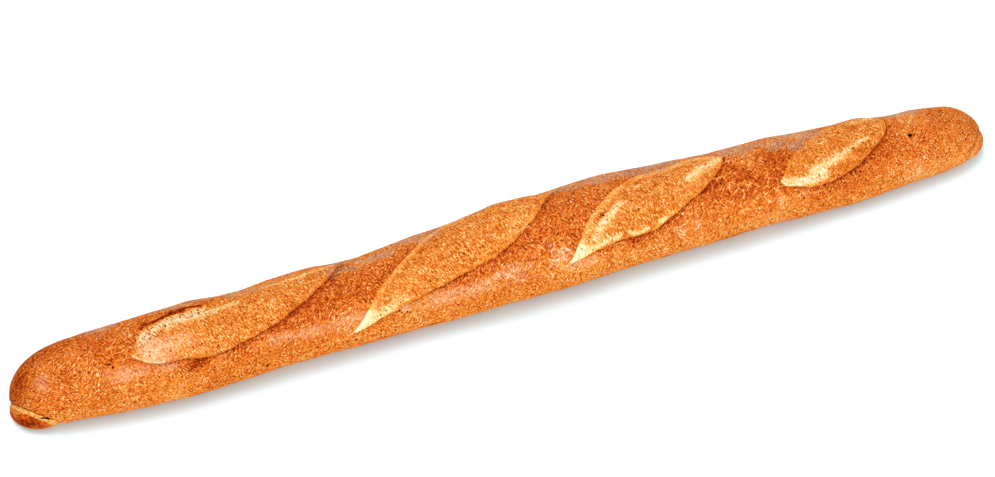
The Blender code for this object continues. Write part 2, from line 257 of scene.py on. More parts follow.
# Painted sheen: pale patches where the crust shows the front light's soft gloss, with an uneven border.
SHEEN_PATCHES = patches(
    (-0.242, 45, 0.018, 0.0055, 0.85), (-0.291, 20, 0.006, 0.009, 0.85),
    (-0.218, 51, 0.008, 0.0035, 0.9), (-0.262, 34, 0.012, 0.005, 0.3), (-0.187, 56, 0.008, 0.004, 0.5),
    (-0.152, 54, 0.02, 0.0045, 0.75), (-0.134, 57, 0.014, 0.005, 0.75),
    (-0.112, 55, 0.016, 0.006, 0.65), (-0.108, 68, 0.018, 0.006, 0.5),
    (-0.075, 62, 0.0045, 0.0028, 1.0), (-0.05, 63, 0.022, 0.0055, 0.95), (-0.03, 66, 0.016, 0.006, 0.9),
    (-0.01, 57, 0.014, 0.0045, 1.05), (-0.004, 68, 0.016, 0.0045, 0.6),
    (0.017, 42, 0.0022, 0.0062, 0.8), (0.018, 56, 0.003, 0.005, 0.9), (0.025, 54, 0.0035, 0.007, 0.8),
    (0.036, 73, 0.014, 0.005, 0.78), (0.099, 68, 0.008, 0.0055, 0.66), (0.11, 66, 0.003, 0.005, 0.7),
    (0.164, 61, 0.0032, 0.0065, 0.75), (0.256, 30, 0.004, 0.005, 0.45), (0.258, 88, 0.012, 0.008, 0.5),
    (0.265, 97, 0.026, 0.006, 0.42), (0.15, 86, 0.04, 0.0045, 0.4), (-0.272, 98, 0.02, 0.006, 0.35),
    (0.278, 80, 0.01, 0.008, 0.42),
    # Inside the cuts: the first one's left lobe.
    (-0.223, 28, 0.015, 0.011, 0.95), (-0.205, 24, 0.01, 0.007, 0.6),
)
# Painted reflection: greyer and duller skin near the loaf's far side, where the crust
# reflects the bright surroundings at a grazing angle.
FAR_SIDE_REFLECTIONS = patches(
    (-0.103, -16, 0.014, 0.005, 0.75), (-0.084, -24, 0.018, 0.005, 0.8),
    (-0.055, -36, 0.018, 0.0045, 0.8), (-0.16, -42, 0.05, 0.0045, 0.75),
    (-0.158, -29, 0.018, 0.0045, 0.75), (-0.02, -40, 0.03, 0.004, 0.5),
    (-0.208, -36, 0.016, 0.004, 0.85), (0.043, -36, 0.016, 0.005, 0.9),
    (0.062, -34, 0.014, 0.0065, 0.95), (0.092, -34, 0.022, 0.0085, 1.1),
    (0.117, -42, 0.022, 0.0055, 1.0), (0.148, -30, 0.02, 0.008, 0.9), (0.172, -18, 0.008, 0.005, 1.0),
    (0.184, -9, 0.0075, 0.0055, 1.1), (0.194, -23, 0.009, 0.005, 1.1), (0.188, -36, 0.02, 0.0045, 0.9),
    (0.212, -44, 0.01, 0.003, 0.7), (0.1, -18, 0.012, 0.002, 0.45), (0.26, -36, 0.018, 0.006, 0.9),
    (-0.25, -38, 0.014, 0.0055, 0.8), (-0.252, -22, 0.01, 0.004, 0.5),
    (-0.108, -36, 0.016, 0.005, 0.85), (-0.05, -24, 0.014, 0.004, 0.65),
)
# Fine pale folds of the crust's skin.
WRINKLES = strokes(
    (0.0005, 0.9, ((0.104, 58), (0.109, 62), (0.111, 68), (0.108, 74))),
    (0.0004, 0.8, ((0.12, 78), (0.124, 70), (0.128, 62))),
    (0.0004, 0.8, ((0.143, 46), (0.146, 58), (0.148, 70))),
    (0.0004, 0.9, ((0.154, 44), (0.157, 52), (0.157, 62))),
    (0.0005, 0.9, ((0.163, 50), (0.167, 58), (0.164, 72))),
    (0.0004, 0.8, ((0.15, 10), (0.156, 20), (0.162, 26), (0.166, 36))),
    (0.0004, 0.7, ((0.13, 30), (0.14, 26), (0.15, 29))),
    (0.0004, 0.6, ((0.138, 36), (0.142, 42), (0.141, 52))),
    (0.0004, 0.5, ((-0.115, 46), (-0.108, 41), (-0.1, 42), (-0.096, 47))),
    (0.0004, 0.5, ((0.259, 4), (0.254, 20), (0.252, 34))),
    (0.0005, 0.8, ((0.265, -22), (0.26, -8), (0.256, 8))),
    (0.0005, 0.7, ((0.018, 40), (0.021, 50), (0.022, 58))),
    (0.0005, 0.7, ((0.025, 44), (0.028, 52), (0.03, 58))),
    (0.0004, 0.7, ((0.012, 38), (0.015, 50), (0.015, 64))),
    (0.0006, 1.0, ((-0.25, 6), (-0.242, 8), (-0.236, 14))),
    (0.0006, 1.0, ((-0.108, 77), (-0.112, 82))),
    (0.0006, 1.0, ((0.027, 68), (0.022, 73))),
)
# Where the crust has a net of fine folds.
NETS = patches(
    (0.15, 42, 0.022, 0.017, 1.0), (0.132, 18, 0.018, 0.01, 0.8), (0.017, 48, 0.01, 0.011, 0.9),
    (0.104, 62, 0.016, 0.008, 0.7), (-0.006, 62, 0.02, 0.006, 0.6), (0.262, 4, 0.014, 0.01, 0.5),
    (-0.246, 10, 0.01, 0.008, 0.6),
)
# Blisters on the third cut's ledge: raised, and painted pale, partly paler crumb and partly a painted
# highlight.
BLISTERS = strokes(
    (0.0012, 1.3, ((0.0665, 50), (0.0685, 53.5), (0.0715, 55), (0.075, 54), (0.0785, 52))),
    (0.0013, 1.6, ((0.0865, 49), (0.09, 46.5))),
)
# Narrow black gaps, their black a painted shade: in the left end's seam and at the loaf's foot.
GAPS = strokes(
    (0.0007, 1.3, ((-0.2962, 86), (-0.2948, 86), (-0.2922, 90))),
    (0.0005, 1.0, ((-0.06, 107), (-0.0575, 107))),
    (0.0004, 0.8, ((0.131, 109), (0.133, 109))),
)
# The marks that each mask comes from. The gaps share the pits' mask of painted shade.
SKIN_MARKS = {
    "cream": CREAM, "strand": STRANDS, "brown": BROWN, "painted_sheen": SHEEN_PATCHES, "painted_reflection": FAR_SIDE_REFLECTIONS, "net": NETS,
    "wrinkle": WRINKLES, "pit": GAPS,
}
# The painted shade of the dark gap just beyond a seam, and the seam's pale floor from its start to its
# end.
SEAM_STRENGTHS = (1.0, 0.3)
SEAM_GAP = 0.0009
SEAM_GAP_WIDTH = 0.0004
SEAM_FLOOR = (0.0011, 0.0023)
SEAM_FLOOR_FADES = (0.0004, 0.0012)
# For each cut: how dark the painted shade on the crust is under its ledge and beyond its far edge,
# how dark the painted shadow line under the ledge is, how wide the smooth bands inside its edges are,
# and how pale the far one is.
Trim = namedtuple("Trim", "shelter beyond line far_band front_band far_paleness")
TRIMS = (
    Trim(0.75, 0.20, 0.55, 0.0013, 0.0010, 0.0), Trim(0.65, 0.12, 0.30, 0.0028, 0.0017, 0.55),
    Trim(0.65, 0.15, 0.90, 0.0028, 0.0017, 0.65), Trim(0.80, 0.16, 0.90, 0.0016, 0.0012, 0.2),
)
# How far the painted shade reaches under a ledge, close and wide, and beyond a far edge.
PAINTED_SHADE_REACHES = (0.0016, 0.0050)
FAR_SHADE_REACH = 0.0045
# The width of the painted shadow line under a ledge.
LINE_WIDTH = 0.00045
OPENED_RUN = 0.0003
# How far a pit's painted shade spreads against its radius, and the depth at which it is fully dark.
PIT_SHADE = 1.25
DARK_PIT_DEPTH = 0.0006

# ---------------- the fine mesh
RINGS = 470
COLUMNS = 116
CREST_LEAN = 0.30
REFINE_REACHES = (0.0018, 0.0006)
REFINE_BOTTOM = 0.002
EDGE_SAMPLES = 180
PROFILE_SAMPLES = 4001
STATION_STEP = 0.0005
ANGLE_STEP = 1.0

# ---------------- the photograph's camera and the studio
PHOTO_WIDTH = 995
FOCAL_PIXELS = 3323.0
SENSOR = 36.0
AZIMUTH = -20.0
ELEVATION = 52.0
CAMERA_DISTANCE = 2.0
AIM = Vector((-0.0030, 0.0134, 0.0193))
FLOOR_HALF = 6.0
FLOOR_COLOUR = (0.76, 0.935, 0.985, 1.0)
WORLD_STRENGTH = 1.0
SOFTBOX_SIZE = 2.1
# Each softbox: its name, place and watts.
SOFTBOXES = (("key", (-0.47, 0.67, 3.93), 76.0), ("fill", (-0.50, -5.85, 1.27), 168.0))


def smooth(value):
    """Rises smoothly from 0 to 1."""
    value = np.clip(value, 0.0, 1.0)
    return value * value * (3.0 - 2.0 * value)


def bell(distance):
    """A bell curve, 1 at no distance."""
    return np.exp(-distance * distance)


def curve(values, share):
    """A smooth curve through evenly spaced values, from the first at 0 to the last at 1."""
    spans = len(values) - 1
    padded = np.array((2 * values[0] - values[1], *values, 2 * values[-1] - values[-2]))
    place = np.clip(share * spans, 0.0, spans)
    first = np.minimum(place.astype(int), spans - 1)
    t = place - first
    before, here, there, after = (padded[first + offset] for offset in range(4))
    bend = 2 * before - 5 * here + 4 * there - after
    twist = 3 * (here - there) + after - before
    return here + 0.5 * t * (there - before + t * (bend + t * twist))


def along(values, station):
    """A smooth curve through evenly spaced values, from the loaf's left end to its right end."""
    return curve(values, station / LENGTH + 0.5)


def cap(distance, reach):
    """How full a round end is, from 0 at its tip to 1 where the cap stops."""
    inset = np.clip(1.0 - distance / reach, 0.0, 1.0)
    return (1.0 - inset ** CAP_POWER) ** (1.0 / CAP_POWER)


def both_caps(station, reaches):
    """The fullness that the two end caps leave at a station."""
    return cap(LENGTH / 2 + station, reaches[0]) * cap(LENGTH / 2 - station, reaches[1])


def tip_blend(station, values):
    """A value at each tip that fades out towards the body."""
    left = np.clip(1.0 - (LENGTH / 2 + station) / TIP_REACH, 0.0, 1.0) ** 2
    right = np.clip(1.0 - (LENGTH / 2 - station) / TIP_REACH, 0.0, 1.0) ** 2
    return left * values[0] + right * values[1]


def body_point(station, angle):
    """The plain loaf's skin: an arched top over rounder flanks and a flat base."""
    half_width = along(WIDTHS, station) / 2
    full_height = 2 * half_width * HEIGHT_PER_WIDTH
    tip = tip_blend(station, TIP_HEIGHTS)
    fullness = both_caps(station, SIDE_CAPS)
    bottom = tip * (1.0 - fullness)
    top = tip + (full_height - tip) * fullness
    widest = bottom + WIDEST_LEVEL * (top - bottom)
    across = np.sin(np.radians(angle))
    up = np.cos(np.radians(angle))
    flank = 2.0 / FLANK_POWER
    side = np.where(up >= 0, across, np.sign(across) * np.abs(across) ** flank)
    lower = widest - (widest - bottom + BASE_FLAT) * np.abs(up) ** flank
    z = np.maximum(np.where(up >= 0, widest + (top - widest) * up, lower), 0.0)
    sway = along(SIDE_SWAYS, station) + tip_blend(station, TIP_SWAYS)
    y = sway - half_width * both_caps(station, PLAN_CAPS) * side
    return np.stack((station, y, z), axis=-1)


def body_normal(station, angle):
    """The plain loaf's outward direction, from two short steps along its skin."""
    limit = LENGTH / 2 - STATION_STEP
    station = np.clip(station, -limit, limit)
    run = body_point(station + STATION_STEP, angle) - body_point(station - STATION_STEP, angle)
    turn = body_point(station, angle + ANGLE_STEP) - body_point(station, angle - ANGLE_STEP)
    normal = np.cross(turn, run)
    return normal / np.maximum(np.linalg.norm(normal, axis=-1, keepdims=True), 1e-12)


def edge_line(cut, bows, side):
    """An edge of a cut as stations and angles. Side is 1 for the front edge and -1 for the far one."""
    step = np.linspace(0.0, 1.0, EDGE_SAMPLES)
    t = (1.0 - np.cos(math.pi * step)) / 2
    station = cut.left[0] + (cut.right[0] - cut.left[0]) * t
    angle = cut.left[1] + (cut.right[1] - cut.left[1]) * t + side * curve((0, *bows, 0), step)
    for height, waves, phase in EDGE_WOBBLES:
        fade = np.minimum(1.0, 8 * t * (1.0 - t))
        angle += height * np.sin(2 * math.pi * waves * station + phase + side) * fade
    return station, angle


def unrolled(station, angle):
    """The skin laid flat, in metres along and round the loaf."""
    return np.stack((station, np.radians(angle) * MEAN_RADIUS), axis=-1)


def distance_to_line(points, line):
    """Each flat point's distance to a line."""
    nearest = np.full(len(points), np.inf)
    for start, end in zip(line[:-1], line[1:]):
        run = end - start
        offset = points - start
        t = np.clip(offset @ run / (run @ run), 0.0, 1.0)
        np.minimum(nearest, np.hypot(offset[:, 0] - t * run[0], offset[:, 1] - t * run[1]), out=nearest)
    return nearest


# Where the skin's places are in relation to one cut: whether inside it, how far from each edge, and how
# far across it from the front edge (0) to the far edge (1).
CutPlace = namedtuple("CutPlace", "inside to_front to_far across")


def place_in_cut(cut, station, angle):
    """The CutPlace of each place on the skin."""
    flat = unrolled(station, angle)
    front = edge_line(cut, cut.front, 1)
    far = edge_line(cut, cut.far, -1)
    to_front = np.full(len(station), np.inf)
    to_far = np.full(len(station), np.inf)
    close = (station > cut.left[0] - CUT_MARGIN) & (station < cut.right[0] + CUT_MARGIN)
    to_front[close] = distance_to_line(flat[close], unrolled(*front))
    to_far[close] = distance_to_line(flat[close], unrolled(*far))
    between = (angle < np.interp(station, *front)) & (angle > np.interp(station, *far))
    inside = between & (station > cut.left[0]) & (station < cut.right[0])
    across = np.where(close, to_front, 1.0) / np.where(close, to_front + to_far + 1e-9, 1.0)
    return CutPlace(inside, to_front, to_far, across)


def cut_relief(cut, place, under):
    """The height that an opened cut adds to the skin."""
    width = np.minimum(place.to_front + place.to_far, 1.0)
    fullness = np.clip(width / FULL_CROWN_WIDTH, 0.0, 1.0)
    rise = smooth(np.minimum(place.to_front, place.to_far) / LEDGE_RUN)
    across = np.clip(place.across, 0.0, 1.0)
    crown = cut.crown * np.sin(math.pi * across) ** CROWN_POWER * fullness
    groove = cut.groove * bell((across - cut.groove_at) / GROOVE_SPREAD) * fullness
    ledge = cut.ledge * (1.0 - across ** 2) * rise
    ear = cut.ear * bell(np.minimum(place.to_far, 1.0) / EAR_REACH)
    foot = FOOT_DIP * bell(np.minimum(place.to_front, 1.0) / FOOT_REACH)
    foot += under * UNDERCUT * bell(np.minimum(place.to_front, 1.0) / UNDERCUT_REACH)
    beyond = np.where(place.to_far < place.to_front, ear, -foot)
    ear_edge = ear * (1.0 - smooth(np.minimum(place.to_far, 1.0) / LEDGE_RUN))
    return np.where(place.inside, ledge + crown - groove * rise + ear_edge, beyond)


def swell_relief(station, angle):
    """The slow unevenness of a hand-shaped loaf."""
    height = np.zeros_like(station)
    for around, swells in SWELLS.items():
        share = bell((angle - around) / SWELL_SPREAD)
        for centre, rise, half_length in swells:
            height += rise * bell((station - centre) / half_length) * share
    return height


def beyond_seams(points):
    """For each seam, how far each point lies on its folded heel's side, and -1 at the other end."""
    for seam in SEAMS:
        beyond = (points - np.array(seam.point)) @ np.array(seam.normal)
        near_end = points[:, 0] * np.sign(seam.point[0]) > SEAM_STATION
        yield seam, np.where(near_end, beyond, -1.0)


def seam_relief(points):
    """A narrow step down where each end's fold was tucked in, and the heel that swells beyond it."""
    height = np.zeros(len(points))
    for seam, beyond in beyond_seams(points):
        past = np.maximum(beyond - SEAM_RUN, 0.0)
        height -= seam.step * smooth(beyond / SEAM_RUN) * bell(past / seam.reach)
        height += seam.heel * smooth((past - SEAM_STEP_SHIFT) / seam.heel_run)
    return height


def pit_distances(station, angle):
    """Each place's distance to every pit, with the pit's radius and depth."""
    flat = unrolled(station, angle)
    for centre, around, radius, depth in PITS:
        offset = flat - unrolled(np.array(centre), np.array(around))
        yield np.linalg.norm(offset, axis=-1), radius, depth


def mask(place, station, angle):
    """How much of a stroke or patch is at each place, from 0 to its strength."""
    flat = unrolled(station, angle)
    if isinstance(place, Patch):
        offset = flat - unrolled(np.array(place.station), np.array(place.angle))
        return place.strength * bell(np.hypot(offset[:, 0] / place.along, offset[:, 1] / place.around))
    line = unrolled(*np.array(place.points, float).T)
    return place.strength * bell(distance_to_line(flat, line) / place.half_width)


def strongest(places, station, angle):
    """The strongest of several strokes and patches at each place."""
    return np.max([mask(place, station, angle) for place in places], axis=0)


def lattice_noise(points, size, seed):
    """Smooth noise from -1 to 1 with lumps of one size, the same on every run."""
    table = np.random.default_rng(seed).uniform(-1.0, 1.0, (NOISE_CELLS,) * 3)
    place = points / size
    cell = np.floor(place).astype(int)
    share = smooth(place - cell)
    total = np.zeros(len(points))
    for corner in np.ndindex(2, 2, 2):
        index = tuple(((cell + corner) % NOISE_CELLS).T)
        weight = np.prod(np.where(np.array(corner) == 1, share, 1.0 - share), axis=1)
        total += table[index] * weight
    return total


def layered_noise(points, layers, seed):
    """Noise layers added up, each with its own height and size."""
    total = np.zeros(len(points))
    for number, (height, size) in enumerate(layers):
        total += height * lattice_noise(points, size, seed + number)
    return total


def ring_stations():
    """Stations at even steps along the loaf's outline, so that the round ends get enough rings."""
    station = -np.cos(np.linspace(0.0, math.pi, PROFILE_SAMPLES)) * LENGTH / 2
    half_width = along(WIDTHS, station) / 2 * both_caps(station, PLAN_CAPS)
    steps = np.hypot(np.diff(station), np.diff(half_width))
    travelled = np.concatenate(([0.0], np.cumsum(steps)))
    return travelled / travelled[-1], station


def skin_places(directions):
    """The station and angle of each direction from the middle of a sphere with its axis along Z."""
    unit = directions / np.linalg.norm(directions, axis=1, keepdims=True)
    share = 1.0 - np.arccos(np.clip(unit[:, 2], -1.0, 1.0)) / math.pi
    station = np.interp(share, *ring_stations())
    turn = np.arctan2(unit[:, 1], unit[:, 0])
    return station, np.degrees(turn - CREST_LEAN * np.sin(turn))


def distance_to_relief(station, angle):
    """How far each place is from the nearest step, seam or pit."""
    places = [place_in_cut(cut, station, angle) for cut in CUTS]
    nearest = np.min([np.minimum(place.to_front, place.to_far) for place in places], axis=0)
    for distance, radius, _ in pit_distances(station, angle):
        nearest = np.minimum(nearest, np.maximum(distance - radius, 0.0))
    points = body_point(station, angle)
    for _, beyond in beyond_seams(points):
        nearest = np.where(points[:, 2] > REFINE_BOTTOM, np.minimum(nearest, np.abs(beyond)), nearest)
    return nearest


def refine(mesh):
    """Halves the faces near the relief's lines, once for each reach."""
    for reach in REFINE_REACHES:
        centres = np.array([face.calc_center_median() for face in mesh.faces])
        close = distance_to_relief(*skin_places(centres)) < reach
        edges = {edge for face, near in zip(mesh.faces[:], close) if near for edge in face.edges}
        edges = sorted(edges, key=lambda edge: edge.index)
        bmesh.ops.subdivide_edges(mesh, edges=edges, cuts=1, use_grid_fill=True)
        mesh.edges.index_update()
        mesh.faces.ensure_lookup_table()


def slanted(station, angle):
    """The skin laid flat and squeezed along the loaf, so that noise on it runs in slanting streaks."""
    round_loaf = np.radians(angle) * MEAN_RADIUS + CRUMB_SLANT * station
    return np.stack((station / CRUMB_STRETCH, round_loaf, np.zeros_like(station)), axis=-1)


def band(distance, width):
    """1 up to a width away from a line, and 0 from twice that."""
    return 1.0 - smooth(distance / width - 1.0)


def trim_masks(cut, place, trim, station):
    """A cut's masks: its opened inside, its smooth edges, and the painted shade and painted shadow line
    round it.
    """
    front = np.minimum(place.to_front, 1.0)
    far = np.minimum(place.to_far, 1.0)
    share = (station - cut.left[0]) / (cut.right[0] - cut.left[0])
    right_half = 0.30 + 0.70 * smooth((share - 0.25) / 0.25)
    far_band = band(far, trim.far_band / 1.5)
    calm = np.maximum(far_band, band(front, trim.front_band / 1.5))
    below = ~place.inside & (place.to_front < place.to_far)
    behind = ~place.inside & ~below
    # Painted shade below the ledge, stronger on the cut's right half, and beyond the far edge; and the
    # painted shadow line right under the ledge.
    near, wide = (bell(front / reach) for reach in PAINTED_SHADE_REACHES)
    dark = trim.shelter * right_half * (0.5 * near + 0.5 * wide)
    beyond = trim.beyond * bell(far / FAR_SHADE_REACH)
    line = trim.line * (0.4 + 0.6 * right_half) * bell(front / LINE_WIDTH)
    return {
        "opened": np.where(place.inside, smooth(np.minimum(front, far) / OPENED_RUN), 0.0),
        "calm": np.where(place.inside, calm, 0.0),
        "paler": np.where(place.inside, trim.far_paleness * far_band, 0.0),
        "shelter": np.where(below, dark, np.where(behind, beyond, 0.0)),
        "line": np.where(below, line, 0.0),
    }


def cut_masks(places, station):
    """The masks of all the cuts together."""
    masks = {}
    for cut, place, trim in zip(CUTS, places, TRIMS):
        for name, values in trim_masks(cut, place, trim, station).items():
            masks[name] = np.maximum(masks.get(name, 0.0), values)
    return masks


def seam_masks(points):
    """The pale floor of each end's seam and the painted shade of the dark gap beside it."""
    floor = np.zeros(len(points))
    seam_gap_shade = np.zeros(len(points))
    for strength, (_, beyond) in zip(SEAM_STRENGTHS, beyond_seams(points)):
        starts, ends = (smooth((beyond - at) / fade) for at, fade in zip(SEAM_FLOOR, SEAM_FLOOR_FADES))
        floor = np.maximum(floor, strength * starts * (1.0 - ends))
        seam_gap_shade = np.maximum(seam_gap_shade, strength * bell((beyond - SEAM_GAP) / SEAM_GAP_WIDTH))
    return {"seam": floor, "seam_gap_shade": seam_gap_shade}


def pit_relief(station, angle):
    """How deep the pits are at each place, and how dark their painted shade is."""
    deep = np.zeros(len(station))
    dark = np.zeros(len(station))
    for distance, radius, depth in pit_distances(station, angle):
        deep += depth * bell(distance / radius)
        shade = min(1.0, depth / DARK_PIT_DEPTH)
        dark = np.maximum(dark, shade * bell(distance / (PIT_SHADE * radius)))
    return deep, dark


def fine_relief(points, station, angle, masks):
    """The unevenness of the crust and of the crumb."""
    crumb = layered_noise(slanted(station, angle), CRUMB_RELIEF, CRUMB_SEED)
    crust = layered_noise(points, CRUST_RELIEF, NOISE_SEED)
    relief = masks["opened"] * crumb + (1.0 - 0.5 * masks["opened"]) * crust
    return relief * (1.0 - CALM_RELIEF_LOSS * masks["calm"])


def skin(station, angle):
    """The finished skin's points, and the masks that its material reads."""
    points = body_point(station, angle)
    places = [place_in_cut(cut, station, angle) for cut in CUTS]
    masks = {**cut_masks(places, station), **seam_masks(points), "around": angle / 180.0}
    for name, marks in SKIN_MARKS.items():
        masks[name] = strongest(marks, station, angle)
    pit_depth, pit_dark = pit_relief(station, angle)
    # The pits' painted shade joins the gaps' painted shade.
    masks["pit"] = np.maximum(pit_dark, masks["pit"])
    masks["brown"] = masks["brown"] - np.maximum(masks.pop("paler"), strongest(PALER, station, angle))
    blisters = strongest(BLISTERS, station, angle)
    for name in ("calm", "cream"):
        masks[name] = np.maximum(masks[name], blisters)

    height = swell_relief(station, angle) + seam_relief(points)
    under = 0.5 + 0.5 * lattice_noise(points, UNDERCUT_LUMPS, UNDERCUT_SEED)
    for cut, place in zip(CUTS, places):
        height += cut_relief(cut, place, under)
    height += BLISTER_RISE * blisters + WRINKLE_RISE * masks["wrinkle"] - pit_depth
    height += fine_relief(points, station, angle, masks)
    height *= smooth(points[:, 2] / BASE_FADE)
    points += body_normal(station, angle) * height[:, None]
    points[:, 2] = np.maximum(points[:, 2], 0.0)
    return points, masks


def make_loaf():
    """The loaf's fine mesh, fitted into the CAD model's box, with its masks as attributes."""
    mesh = bmesh.new()
    bmesh.ops.create_uvsphere(mesh, u_segments=COLUMNS, v_segments=RINGS, radius=1.0)
    mesh.edges.index_update()
    refine(mesh)
    station, angle = skin_places(np.array([vertex.co for vertex in mesh.verts]))
    points, masks = skin(station, angle)
    low, high = points.min(axis=0), points.max(axis=0)
    box_low, box_high = (np.array(corner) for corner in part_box("baguette"))
    points = box_low + (points - low) * (box_high - box_low) / (high - low)
    for vertex, point in zip(mesh.verts, points):
        vertex.co = point
    bmesh.ops.triangulate(mesh, faces=mesh.faces[:])
    bmesh.ops.recalc_face_normals(mesh, faces=mesh.faces[:])
    data = bpy.data.meshes.new("loaf")
    mesh.to_mesh(data)
    mesh.free()
    data.shade_smooth()
    for name, values in masks.items():
        attribute = data.attributes.new(name, "FLOAT", "POINT")
        attribute.data.foreach_set("value", values.astype(np.float32))
    flat = np.column_stack((unrolled(station, angle), np.zeros(len(station)))).astype(np.float32)
    data.attributes.new("flat", "FLOAT_VECTOR", "POINT").data.foreach_set("vector", flat.ravel())
    return bpy.data.objects.new("loaf", data)


# ---------------- materials
# How much brighter than its own colour the studio's light makes a surface look.
LIGHT_GAIN = 1.41
# Scales of the noises and cells, in waves a metre.
SCALES = {
    "broad": 50, "lean": 75, "part": 140, "fold": 165, "patch": 230, "bend": 300,
    "hole": 300, "curl": 430, "lump": 620, "streak": 760, "hue": 820, "strand": 1000,
    "comb": 1400, "grain": 1450, "fibre": 1600,
}
# Directions of the fibres, in degrees from the loaf's axis.
CRUST_TURNS = (42.0, -52.0)
CRUMB_TURN = -66.0
FOLD_BEND = (0.0016, 0.0016, 0.0016)
BUMP_DISTANCE = 0.0004
BUMP_STRENGTH = 0.8


def linear(red, green, blue):
    """A colour given as 0 to 255 screen values, as the shader takes it."""
    screen = np.array((red, green, blue)) / 255.0
    values = np.where(screen <= 0.04045, screen / 12.92, ((screen + 0.055) / 1.055) ** 2.4)
    return (*(float(value) for value in values), 1.0)


def skin_colour(red, green, blue):
    """The skin's own colour where the studio's light shows it as these screen values."""
    seen = linear(red, green, blue)[:3]
    return (*(value / LIGHT_GAIN for value in seen), 1.0)


# Screen colours by how far the crust has baked, each after its place on the ramp, and the same for the
# opened cuts, the painted sheen and the painted reflection on the far side.
CRUST_COLOURS = (
    (0.00, 255, 237, 192), (0.12, 255, 206, 136), (0.25, 253, 182, 103), (0.35, 251, 163, 77),
    (0.435, 247, 146, 55), (0.50, 241, 132, 38), (0.565, 233, 117, 27), (0.65, 219, 101, 32),
    (0.75, 200, 82, 30), (0.88, 170, 57, 21), (1.00, 124, 34, 8),
)
CRUMB_COLOURS = (
    (0.00, 255, 246, 210), (0.12, 255, 227, 160), (0.25, 254, 191, 105), (0.35, 251, 167, 82),
    (0.435, 246, 151, 62), (0.50, 240, 138, 49), (0.565, 231, 123, 38), (0.65, 216, 106, 29),
    (0.75, 196, 88, 21), (0.88, 172, 62, 12), (1.00, 124, 36, 8),
)
SHEEN_COLOURS = (
    (0.00, 255, 240, 220), (0.25, 254, 216, 174), (0.42, 249, 180, 125), (0.58, 240, 151, 92),
    (0.70, 226, 127, 70), (0.82, 208, 103, 48), (0.92, 178, 74, 26), (1.00, 138, 44, 12),
)
REFLECTION_COLOURS = (
    (0.00, 250, 216, 180), (0.25, 238, 190, 148), (0.42, 229, 168, 124), (0.58, 216, 148, 106),
    (0.70, 202, 128, 86), (0.82, 182, 106, 66), (0.92, 152, 76, 42), (1.00, 106, 40, 16),
)
# The colour of the painted shadow lines under the ledges and in the seams' gaps.
SHADE_LINE_COLOUR = linear(118, 38, 8)
# The near-black painted shade in the pits and gaps.
PIT_SHADE_COLOUR = linear(26, 7, 2)
GOLDEN = (0.965, 1.055, 0.88, 1.0)
ROSY = (1.045, 0.93, 1.12, 1.0)
AMBER = (1.03, 0.98, 0.82, 1.0)


